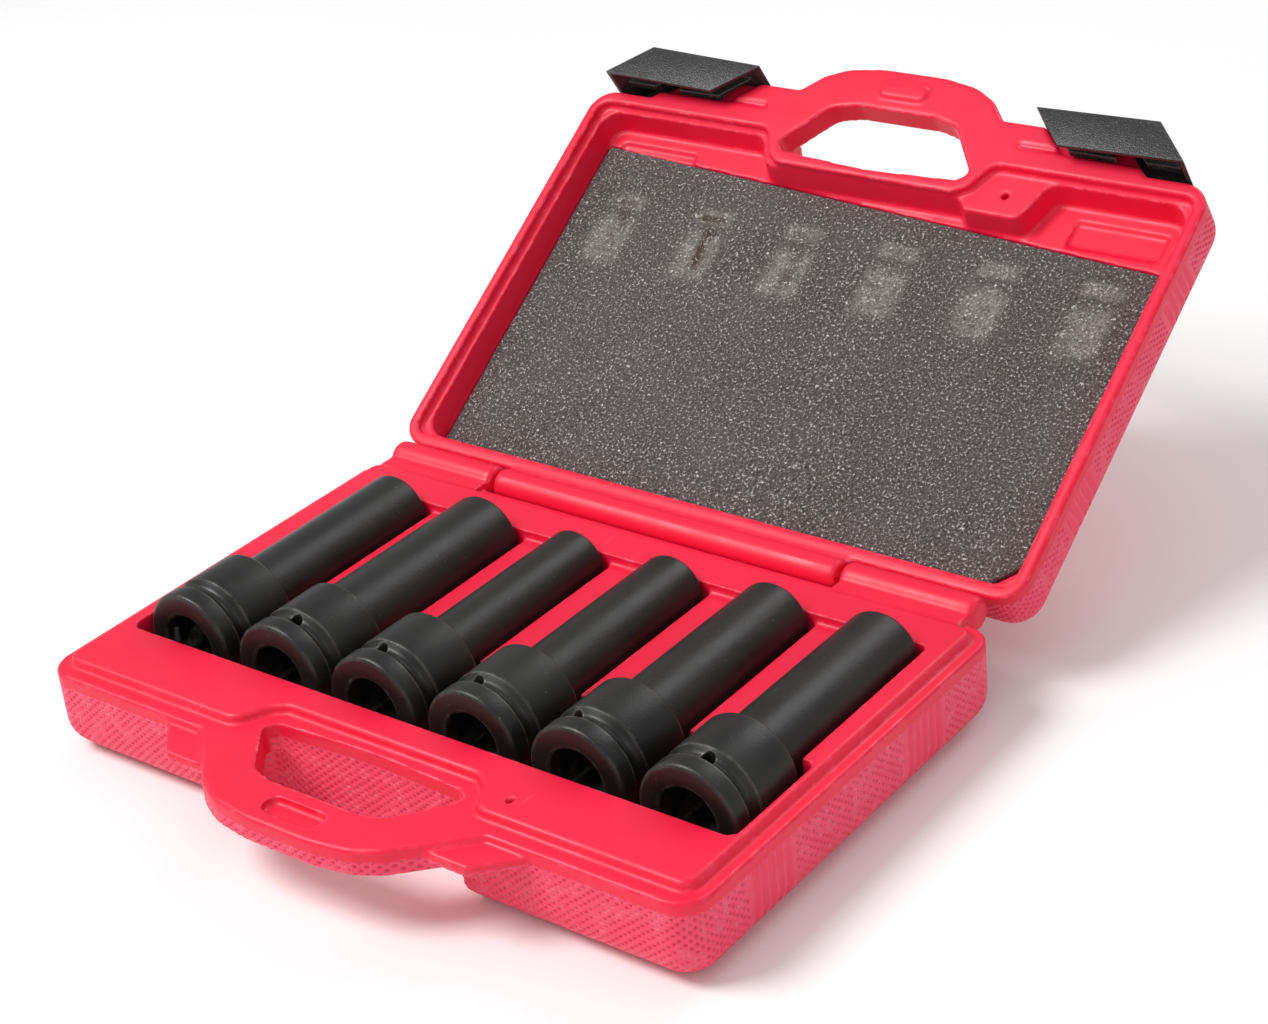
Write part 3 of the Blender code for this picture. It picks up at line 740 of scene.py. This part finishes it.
def latch_mesh(side):
    """Sliding channel: outer wall, two arms, a closed outer end and two webs, edges rounded."""

    def outline(x0, x1, y0, y1):
        points = slanted(x0, x1, y0, y1)
        return points if side > 0 else mirrored(points)

    x0, x1 = LATCH_X
    outer_y = LATCH_WALL_Y - LATCH_T
    arm = outline(x0, x1, outer_y, LATCH_INNER_Y)
    steps = Steps()
    steps.add(latch_slab(arm, None))
    steps.add(solid(arm, LATCH_TOP - LATCH_T - 0.4, LATCH_TOP))
    steps.add(latch_slab(outline(x1 - LATCH_END_T, x1, outer_y, LATCH_INNER_Y), LATCH_TOP))
    web_top = LID_Z - 0.4
    for start, end in LATCH_WEBS:
        steps.add(solid(outline(start, end, outer_y, WEB_Y), web_top - 2.0, web_top))
        steps.add(solid(outline(start, end, LIP_Y, WEB_Y), web_top - 1.0, LID_Z + 1.3))
    mesh = carve(latch_slab(outline(x0, x1, outer_y, LATCH_WALL_Y), LATCH_TOP), steps)
    work = bmesh.new()
    work.from_mesh(mesh)
    bmesh.ops.dissolve_limit(work, angle_limit=0.01, verts=work.verts, edges=work.edges)
    wide = []
    for edge in work.edges:
        level = all(vert.co.z > LATCH_TOP - 0.05 for vert in edge.verts)
        if level and all(vert.co.y < outer_y + 0.1 for vert in edge.verts):
            wide.append(edge)
    bmesh.ops.bevel(work, geom=wide, offset=1.7, segments=5, profile=0.5, affect="EDGES")
    work.to_mesh(mesh)
    work.free()
    mesh = bevelled(mesh, 0.45, 3)
    smooth_all(mesh, 40)
    to_metres(mesh)
    return mesh


def foam_front(x):
    """Front edge of the sheet, cut a little askew."""
    (x0, y0), (x1, y1) = FOAM_FRONT
    return y0 + (y1 - y0) * (x - x0) / (x1 - x0)


def foam_back(x):
    """Edge of the sheet by the hinge, its right corner cut off."""
    return FOAM_BACK_Y - max(0.0, x - FOAM_CORNER_X) * FOAM_CORNER_SLOPE


def foam_outline():
    """Plan of the foam sheet."""
    return [
        (FOAM_X[0], foam_front(FOAM_X[0])),
        (FOAM_X[1], foam_front(FOAM_X[1])),
        (FOAM_X[1], foam_back(FOAM_X[1])),
        (FOAM_CORNER_X, foam_back(FOAM_CORNER_X)),
        (FOAM_X[0], foam_back(FOAM_X[0])),
    ]


def foam_mesh():
    """Limp open-cell sheet with the dents the sockets have pressed into it."""
    spacing = 1.25
    z_low, z_high = FOAM_Z
    columns = int(FOAM_SPAN[0] / spacing)
    rows = int(FOAM_SPAN[1] / spacing)
    grid = {}
    pressed = []
    stained = []
    work = bmesh.new()
    for layer, z in enumerate((z_low, z_high)):
        for i in range(columns + 1):
            for j in range(rows + 1):
                x = FOAM_X[0] + (FOAM_X[1] - FOAM_X[0]) * i / columns
                y = foam_front(x) + (foam_back(x) - foam_front(x)) * j / rows
                edge = min(i, columns - i, j, rows - j) == 0
                ragged = 0.4 * noise.noise(Vector((x * 0.8, y * 0.8, 2.0))) if edge else 0.0
                dent = foam_dent(x, y) if layer == 0 else 0.0
                pressed.append(dent)
                stained.append(foam_stain(x, y))
                z_here = z
                if layer == 0:
                    wave = noise.noise(Vector((x * 0.35, y * 0.35, 0.0)))
                    fine = noise.noise(Vector((x * 1.3, y * 1.3, 4.0)))
                    sag = noise.noise(Vector((x * 0.018, y * 0.018, 7.0)))
                    z_here += 0.22 * wave + 0.16 * fine + 0.5 * sag + 0.8 * dent
                    z_here += 0.7 if edge else 0.0
                grid[layer, i, j] = work.verts.new((x + ragged, y + ragged, z_here))

    def quad(a, b, c, d):
        work.faces.new((grid[a], grid[b], grid[c], grid[d]))

    for i in range(columns):
        for j in range(rows):
            quad((0, i, j), (0, i, j + 1), (0, i + 1, j + 1), (0, i + 1, j))
            quad((1, i, j), (1, i + 1, j), (1, i + 1, j + 1), (1, i, j + 1))
    for i in range(columns):
        quad((0, i, 0), (0, i + 1, 0), (1, i + 1, 0), (1, i, 0))
        quad((0, i, rows), (1, i, rows), (1, i + 1, rows), (0, i + 1, rows))
    for j in range(rows):
        quad((0, 0, j), (1, 0, j), (1, 0, j + 1), (0, 0, j + 1))
        quad((0, columns, j), (0, columns, j + 1), (1, columns, j + 1), (1, columns, j))
    bmesh.ops.recalc_face_normals(work, faces=work.faces)
    mesh = bpy.data.meshes.new("foam")
    work.to_mesh(mesh)
    work.free()
    paint(mesh, pressed=pressed, stain=stained)
    smooth_all(mesh)
    to_metres(mesh)
    return mesh


def foam_dent(x, y):
    """Depth pressed in over each collar: a bar over the ring and a broad patch over the body."""
    depth = 0.0
    for i in range(len(TUBES)):
        dx = abs(x - socket_x(i))
        if dx > 16:
            continue
        bar = smooth_box(dx, 10.0, 4.0) * smooth_box(abs(y + 53.0), 4.0, 3.5)
        body = smooth_box(dx, 10.0, 7.0) * smooth_box(abs(y + 31.0), 12.5, 9.0)
        depth = max(depth, bar * 0.9, body)
    return depth


def foam_stain(x, y):
    """Oil that the first three sockets have left in the sheet, most of it under the second."""
    total = 0.0
    for i, strength in ((0, 0.6), (1, 1.0), (2, 0.6)):
        middle = socket_x(i)
        streak = smooth_box(abs(x - middle - 2.0), 3.0, 4.0) * smooth_box(abs(y + 36.0), 12.0, 8.0)
        bar = smooth_box(abs(x - middle), 8.0, 4.0) * smooth_box(abs(y + 52.0), 1.8, 2.0)
        total = max(total, strength * max(streak, bar))
    return total


def smooth_box(distance, half, soft):
    """1 inside half, 0 outside, with a smooth step of width soft between."""
    t = max(0.0, min(1.0, (half + soft / 2 - distance) / soft))
    return t * t * (3 - 2 * t)


def lathe(profile, segments):
    """Solid of revolution about local Y: profile rows are (radius, distance along +Y)."""
    work = bmesh.new()
    rows = []
    for radius, along in profile:
        if radius < 1e-6:
            rows.append([work.verts.new((0, along, 0))])
            continue
        ring = []
        for k in range(segments):
            angle = 2 * math.pi * k / segments
            ring.append(work.verts.new((radius * math.sin(angle), along, radius * math.cos(angle))))
        rows.append(ring)
    for a, b in zip(rows, rows[1:]):
        for k in range(segments):
            n = (k + 1) % segments
            if len(a) == 1:
                work.faces.new((a[0], b[n], b[k]))
            elif len(b) == 1:
                work.faces.new((a[k], a[n], b[0]))
            else:
                work.faces.new((a[k], a[n], b[n], b[k]))
    bmesh.ops.recalc_face_normals(work, faces=work.faces)
    mesh = bpy.data.meshes.new("turned")
    work.to_mesh(mesh)
    work.free()
    return mesh


def arc(cx, cy, radius, start, end, steps=5):
    """Arc points (radius from the axis, distance along it), angles in degrees from +radius."""
    out = []
    for k in range(steps + 1):
        angle = math.radians(start + (end - start) * k / steps)
        out.append((cx + radius * math.cos(angle), cy + radius * math.sin(angle)))
    return out


def socket_mesh(i):
    """Deep impact socket: square drive end in a grooved collar, plain tube, six-lobed nose bore."""
    tube, nose = TUBES[i], NOSES[i]
    r = COLLAR_R
    profile = [(0.0, 4.0), (10.2, 4.0), (11.9, 1.2), (12.9, 0.2), (13.5, 0.0)]
    profile += arc(r - 1.8, 1.8, 1.8, -90, 0)
    profile += arc(r - 0.5, 7.9, 0.5, 0, 60, 3)
    profile += arc(r - 0.2, 11.8, 2.6, -115, -245, 8)
    profile += arc(r - 0.5, 15.7, 0.5, -60, 0, 3)
    profile += arc(r - 1.6, COLLAR_L - 1.6, 1.6, 0, 75, 5)
    profile += arc(tube + 2.2, COLLAR_L + 2.6, 2.2, -110, -180, 5)
    profile += arc(tube - 2.4, LENGTH - 2.4, 2.4, 0, 90, 6)
    profile += [(0.0, LENGTH)]
    body = lathe(profile, 112)
    half = DRIVE_SQ / 2
    square = rect(-half, half, -half, half, 0.9, 3)
    steps = Steps()
    steps.cut(along_y(square, -5, DRIVE_DEPTH))
    star = []
    for k in range(72):
        angle = 2 * math.pi * k / 72
        reach = nose * (1 - 0.17 * (0.5 - 0.5 * math.cos(6 * angle)))
        star.append((reach * math.cos(angle), reach * math.sin(angle)))
    steps.cut(along_y(star, LENGTH - NOSE_DEPTH, LENGTH + 5))
    start, end = LENGTH - 1.6, LENGTH + 1
    steps.cut(lathe([(0, start), (nose - 0.2, start), (nose + 1.6, end), (0, end)], 64))
    steps.cut(lathe([(0, 20), (THROUGH_R, 20), (THROUGH_R, LENGTH - 50), (0, LENGTH - 50)], 32))
    hole = rod(PIN_HOLE_R, 0, 40, 0, 11.6, 32)
    hole.transform(Matrix.Rotation(math.radians(PIN_TURNS[i]), 4, "Y"))
    steps.cut(hole)
    mesh = carve(body, steps)
    mesh = bevelled(mesh, 0.3, 2, 38)
    smooth_all(mesh, 50)
    # The outside mask is 0 in the bores, which the steel material paints near black as painted shade.
    outside = [1.0 if math.hypot(vert.co.x, vert.co.z) > BORE_RIM_R else 0.0 for vert in mesh.vertices]
    paint(mesh, outside=outside)
    mesh.transform(Matrix.Translation((socket_x(i), FACE_Y, SOCKET_Z)))
    to_metres(mesh)
    return mesh


def along_y(points, y0, y1):
    """Prism along Y whose outline is given across it."""
    rings = []
    for y in (y0, y1):
        rings.append([(px, y, pz) for px, pz in points])
    return loft(rings)


# ------------------------------------------------------------------ materials


class Nodes:
    """Short hand for building one material's node tree."""

    def __init__(self, name):
        self.material = bpy.data.materials.new(name)
        self.material.use_nodes = True
        self.tree = self.material.node_tree
        self.shader = self.tree.nodes["Principled BSDF"]
        self.coords = self.tree.nodes.new("ShaderNodeTexCoord").outputs["Object"]

    def add(self, kind, **settings):
        node = self.tree.nodes.new(kind)
        for key, value in settings.items():
            if key in node.inputs:
                self.put(value, node.inputs[key])
            else:
                setattr(node, key, value)
        return node

    def put(self, value, socket):
        if isinstance(value, bpy.types.NodeSocket):
            self.tree.links.new(value, socket)
        else:
            socket.default_value = value

    def noise(self, scale, detail=3.0, roughness=0.5, coords=None):
        node = self.add("ShaderNodeTexNoise", Scale=scale, Detail=detail, Roughness=roughness)
        self.put(coords or self.coords, node.inputs["Vector"])
        return node.outputs["Fac"]

    def band(self, value, low, high, to_low=0.0, to_high=1.0):
        node = self.add("ShaderNodeMapRange", clamp=True)
        self.put(value, node.inputs["Value"])
        node.inputs["From Min"].default_value = low
        node.inputs["From Max"].default_value = high
        node.inputs["To Min"].default_value = to_low
        node.inputs["To Max"].default_value = to_high
        return node.outputs["Result"]

    def mix(self, factor, first, second):
        node = self.add("ShaderNodeMix", data_type="RGBA")
        self.put(factor, node.inputs["Factor"])
        self.put(first, node.inputs[6])
        self.put(second, node.inputs[7])
        return node.outputs[2]

    def maths(self, operation, first, second=0.0):
        node = self.add("ShaderNodeMath", operation=operation)
        self.put(first, node.inputs[0])
        self.put(second, node.inputs[1])
        return node.outputs[0]

    def bump(self, height, strength, distance, normal=None):
        node = self.add("ShaderNodeBump", Strength=strength, Distance=distance)
        self.put(height, node.inputs["Height"])
        if normal is not None:
            self.put(normal, node.inputs["Normal"])
        return node.outputs["Normal"]

    def painted(self, name):
        return self.add("ShaderNodeAttribute", attribute_name=name).outputs["Fac"]

    def edge_wear_and_highlight(self, radius):
        """1 along edges, 0 on flats: where a normal rounded over the radius leaves the true one. The
        mask serves worn edges and painted edge highlights.
        """
        bevel = self.add("ShaderNodeBevel", samples=4, Radius=radius)
        plain = self.tree.nodes.new("ShaderNodeNewGeometry").outputs["True Normal"]
        angle = self.add("ShaderNodeVectorMath", operation="DOT_PRODUCT")
        self.put(bevel.outputs["Normal"], angle.inputs[0])
        self.put(plain, angle.inputs[1])
        return self.band(angle.outputs["Value"], 0.99, 0.92)

    def stretch(self, x, y, z):
        node = self.add("ShaderNodeMapping")
        self.put(self.coords, node.inputs["Vector"])
        node.inputs["Scale"].default_value = (x, y, z)
        return node.outputs["Vector"]

    def set(self, **values):
        for key, value in values.items():
            self.put(value, self.shader.inputs[key.replace("_", " ")])


def red_plastic(name):
    """Blow-moulded polyethylene: satin, faintly mottled, with pale scuffs, a painted paler sheen on the
    patterned walls and painted shade in the pits.
    """
    n = Nodes(name)
    mottle = n.noise(60.0, 4.0)
    cloud = n.noise(9.0, 2.0)
    red = (0.84, 0.007, 0.048, 1)
    deep = (0.76, 0.005, 0.04, 1)
    pale = (0.9, 0.16, 0.24, 1)
    colour = n.mix(n.band(cloud, 0.35, 0.65), deep, red)
    # The patterned walls are painted paler pink: a painted sheen.
    sheen = n.painted("moulded")
    colour = n.mix(n.maths("MULTIPLY", sheen, 0.75), colour, (0.88, 0.06, 0.14, 1))
    # The pits are painted darker red: painted shade in the recesses.
    pit = n.painted("pit")
    colour = n.mix(n.maths("MULTIPLY", pit, 0.65), colour, (0.52, 0.012, 0.06, 1))
    scuff = n.noise(420.0, 2.0, 0.6, n.stretch(1, 0.16, 1))
    scuff_area = n.noise(14.0, 3.0, 0.6)
    scuffs = n.maths("MULTIPLY", n.band(scuff, 0.70, 0.78), n.band(scuff_area, 0.55, 0.7))
    colour = n.mix(n.maths("MULTIPLY", scuffs, 0.35), colour, pale)
    rubbed = n.maths("MULTIPLY", n.edge_wear_and_highlight(0.0016), n.band(n.noise(170.0, 4.0, 0.7), 0.5, 0.62))
    colour = n.mix(n.maths("MULTIPLY", rubbed, 0.8), colour, pale)
    n.set(Base_Color=colour, IOR=1.45)
    n.set(Roughness=n.band(mottle, 0.3, 0.7, 0.36, 0.5))
    n.set(Subsurface_Weight=0.06, Subsurface_Scale=0.004)
    n.shader.inputs["Subsurface Radius"].default_value = (1.0, 0.25, 0.2)
    grain = n.noise(1500.0, 2.0)
    swell = n.noise(35.0, 2.0)
    normal = n.bump(grain, 0.16, 0.0002)
    normal = n.bump(swell, 0.25, 0.0006, normal)
    n.set(Normal=normal)
    return n.material


def foam_material():
    """Charcoal open-cell foam: dark pores, glints on the cell walls painted near white, worn pale where
    pressed.
    """
    n = Nodes("foam_charcoal")
    cells = n.add("ShaderNodeTexVoronoi", Scale=520.0, feature="F1")
    n.put(n.coords, cells.inputs["Vector"])
    grit = n.noise(850.0, 3.0, 0.7)
    blotch = n.noise(25.0, 3.0)
    colour = n.mix(n.band(grit, 0.36, 0.62), (0.024, 0.018, 0.016, 1), (0.15, 0.125, 0.115, 1))
    colour = n.mix(n.band(blotch, 0.3, 0.75, 0.0, 0.25), colour, (0.16, 0.15, 0.15, 1))
    pressed = n.painted("pressed")
    worn = n.maths("MULTIPLY", pressed, n.band(n.noise(1100.0, 2.0), 0.35, 0.62, 0.1, 0.85))
    worn = n.maths("MULTIPLY", worn, n.band(n.noise(95.0, 3.0), 0.3, 0.55, 0.35, 1.0))
    colour = n.mix(worn, colour, (0.34, 0.31, 0.28, 1))
    stain = n.painted("stain")
    smear = n.band(n.noise(180.0, 3.0), 0.36, 0.52)
    colour = n.mix(n.maths("MULTIPLY", stain, smear), colour, (0.055, 0.028, 0.012, 1))
    # Near-white specks on the cell walls: painted glints.
    spark = n.maths("MULTIPLY", n.band(grit, 0.57, 0.66), n.band(cells.outputs["Distance"], 0.2, 0.55))
    colour = n.mix(spark, colour, (0.8, 0.79, 0.78, 1))
    n.set(Base_Color=colour, Roughness=0.92, IOR=1.4)
    n.shader.inputs["Sheen Weight"].default_value = 0.15
    n.shader.inputs["Sheen Roughness"].default_value = 0.5
    height = n.maths("ADD", n.maths("MULTIPLY", cells.outputs["Distance"], 0.6), grit)
    n.set(Normal=n.bump(height, 1.0, 0.0016))
    return n.material


def black_oxide(name, seed):
    """Phosphated steel: near black, finely pitted, a little worn and oily; pale edges that are partly
    wear and partly painted highlight, and bores painted near black as shade.
    """
    n = Nodes(name)
    shifted = n.add("ShaderNodeMapping")
    n.put(n.coords, shifted.inputs["Vector"])
    shifted.inputs["Location"].default_value = (seed * 0.37, seed * 0.21, 0)
    coords = shifted.outputs["Vector"]
    cloud = n.noise(30.0, 4.0, 0.6, coords)
    grit = n.noise(900.0, 3.0, 0.6, coords)
    colour = n.mix(n.band(cloud, 0.3, 0.7), (0.006, 0.0065, 0.006, 1), (0.016, 0.0165, 0.015, 1))
    dust = n.noise(1000.0, 1.0, 0.5, coords)
    colour = n.mix(n.band(dust, 0.77, 0.8, 0.0, 0.5), colour, (0.25, 0.25, 0.22, 1))
    # Pale outer edges: partly worn oxide, partly a painted highlight along the rims.
    chance = n.band(n.noise(240.0, 3.0, 0.6, coords), 0.38, 0.58, 0.1, 0.8)
    edge = n.maths("MULTIPLY", n.edge_wear_and_highlight(0.0016), chance)
    outside = n.painted("outside")
    colour = n.mix(n.maths("MULTIPLY", edge, outside), colour, (0.20, 0.19, 0.17, 1))
    # Inside the bore rim the steel is painted near black: painted shade in the hollows.
    colour = n.mix(outside, (0.003, 0.003, 0.003, 1), colour)
    n.set(Base_Color=colour)
    n.shader.inputs["Metallic"].default_value = 0.2
    n.set(Roughness=n.band(n.maths("ADD", cloud, n.maths("MULTIPLY", grit, 0.4)), 0.4, 1.0, 0.34, 0.52))
    n.set(Normal=n.bump(grit, 0.22, 0.0003))
    return n.material


def black_plastic(name):
    """Injection-moulded latch: black, fine spark-eroded grain, bright edges painted as highlights."""
    n = Nodes(name)
    grain = n.noise(1300.0, 2.0)
    cloud = n.noise(45.0, 3.0)
    colour = n.mix(n.band(cloud, 0.3, 0.7), (0.012, 0.012, 0.013, 1), (0.022, 0.022, 0.023, 1))
    specks = n.noise(1100.0, 1.0)
    colour = n.mix(n.band(specks, 0.62, 0.75, 0.0, 0.7), colour, (0.12, 0.12, 0.12, 1))
    # Bright grey edges: a painted highlight along the latch edges.
    colour = n.mix(n.maths("MULTIPLY", n.edge_wear_and_highlight(0.0006), 0.5), colour, (0.22, 0.22, 0.23, 1))
    n.set(Base_Color=colour, Roughness=n.band(grain, 0.3, 0.7, 0.28, 0.44))
    n.set(Normal=n.bump(grain, 0.8, 0.0004))
    return n.material


def bright_steel(name):
    """Bright steel of the hinge pins, with fine lines along them."""
    n = Nodes(name)
    lines = n.noise(900.0, 2.0, 0.5, n.stretch(0.05, 1, 1))
    n.set(Base_Color=n.mix(lines, (0.5, 0.5, 0.51, 1), (0.62, 0.62, 0.63, 1)))
    n.shader.inputs["Metallic"].default_value = 1.0
    n.set(Roughness=n.band(lines, 0.3, 0.7, 0.22, 0.38))
    return n.material


# ------------------------------------------------------------------ assembly


def opened():
    """Place, in metres, of a piece of the open lid whose mesh is drawn with the lid shut."""
    pivot = Vector((0.0, HINGE_Y, HINGE_Z)) * MM
    turn = Matrix.Rotation(-math.radians(OPEN_DEG), 4, "X")
    return Matrix.Translation(pivot) @ turn @ Matrix.Translation(-pivot)


def build_pieces():
    piece("case_base", base_mesh(), red_plastic("red_case_base"), "base", "base_shell")
    lid_place = opened()
    piece("case_lid", lid_mesh(), red_plastic("red_case_lid"), "lid", "lid_shell", lid_place)
    foam = piece("foam_sheet", foam_mesh(), foam_material(), "lid", "foam_pad", lid_place)
    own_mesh(foam)
    for side, name in ((-1, "left"), (1, "right")):
        node = "latch_" + name
        black = black_plastic("black_" + node)
        piece("channel_latch_" + name, latch_mesh(side), black, node, node, lid_place)
    for i in range(len(TUBES)):
        node = "socket_%d" % (i + 1)
        piece("impact_" + node, socket_mesh(i), black_oxide("oxide_%d" % (i + 1), i), node, node)
    for name in ("hinge_pin_left", "hinge_pin_right"):
        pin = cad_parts[name]
        pin.data.materials.clear()
        pin.data.materials.append(bright_steel("steel_" + name))


def build_floor():
    """Pale floor just under the case."""
    mesh = bpy.data.meshes.new("floor")
    size = 6.0
    corners = [(-size, -size, 0), (size, -size, 0), (size, size, 0), (-size, size, 0)]
    mesh.from_pydata(corners, [], [(0, 1, 2, 3)])
    floor = bpy.data.objects.new("floor", mesh)
    floor.location.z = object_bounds()[0].z - 0.0002
    bpy.context.scene.collection.objects.link(floor)
    n = Nodes("pale_floor")
    tone = n.noise(3.0, 2.0)
    n.set(Base_Color=n.mix(tone, (0.86, 0.86, 0.86, 1), (0.9, 0.9, 0.9, 1)), Roughness=0.75)
    mesh.materials.append(n.material)


def area_light(name, location, target, size, power, colour=(1, 1, 1)):
    light = bpy.data.lights.new(name, "AREA")
    light.shape = "DISK"
    light.size = size
    light.energy = power
    light.color = colour
    obj = bpy.data.objects.new(name, light)
    obj.location = location
    obj.rotation_euler = (Vector(target) - Vector(location)).to_track_quat("-Z", "Y").to_euler()
    bpy.context.scene.collection.objects.link(obj)


def build_light():
    """Three soft lamps and an even white surround."""
    area_light("key", (-1.0, -0.9, 1.9), (0, 0.05, 0.05), 1.1, 43)
    area_light("fill", (1.6, -1.2, 0.9), (0, 0.05, 0.05), 1.4, 5)
    area_light("back", (0.2, 1.9, 1.5), (0, 0.1, 0.05), 1.2, 12)
    world = bpy.data.worlds.new("studio")
    world.use_nodes = True
    world.node_tree.nodes["Background"].inputs["Color"].default_value = (1, 1, 1, 1)
    world.node_tree.nodes["Background"].inputs["Strength"].default_value = 0.5
    bpy.context.scene.world = world


def build_camera():
    """The photo's camera, as fitted to the edges of the case."""
    data = bpy.data.cameras.new("camera")
    data.sensor_width = 36.0
    data.lens = 73.97
    data.clip_start = 0.02
    camera = bpy.data.objects.new("camera", data)
    right = Vector((0.7975, 0.5964, -0.0917))
    up = Vector((-0.2183, 0.4268, 0.8776))
    back = Vector((0.5625, -0.6798, 0.4705))
    turn = Matrix((right, up, back)).transposed()
    camera.matrix_world = Matrix.Translation((0.61175, -0.65358, 0.57022)) @ turn.to_4x4()
    bpy.context.scene.collection.objects.link(camera)
    bpy.context.scene.camera = camera


build_camera()
build_pieces()
build_floor()
build_light()
bpy.context.scene.view_settings.view_transform = "Standard"
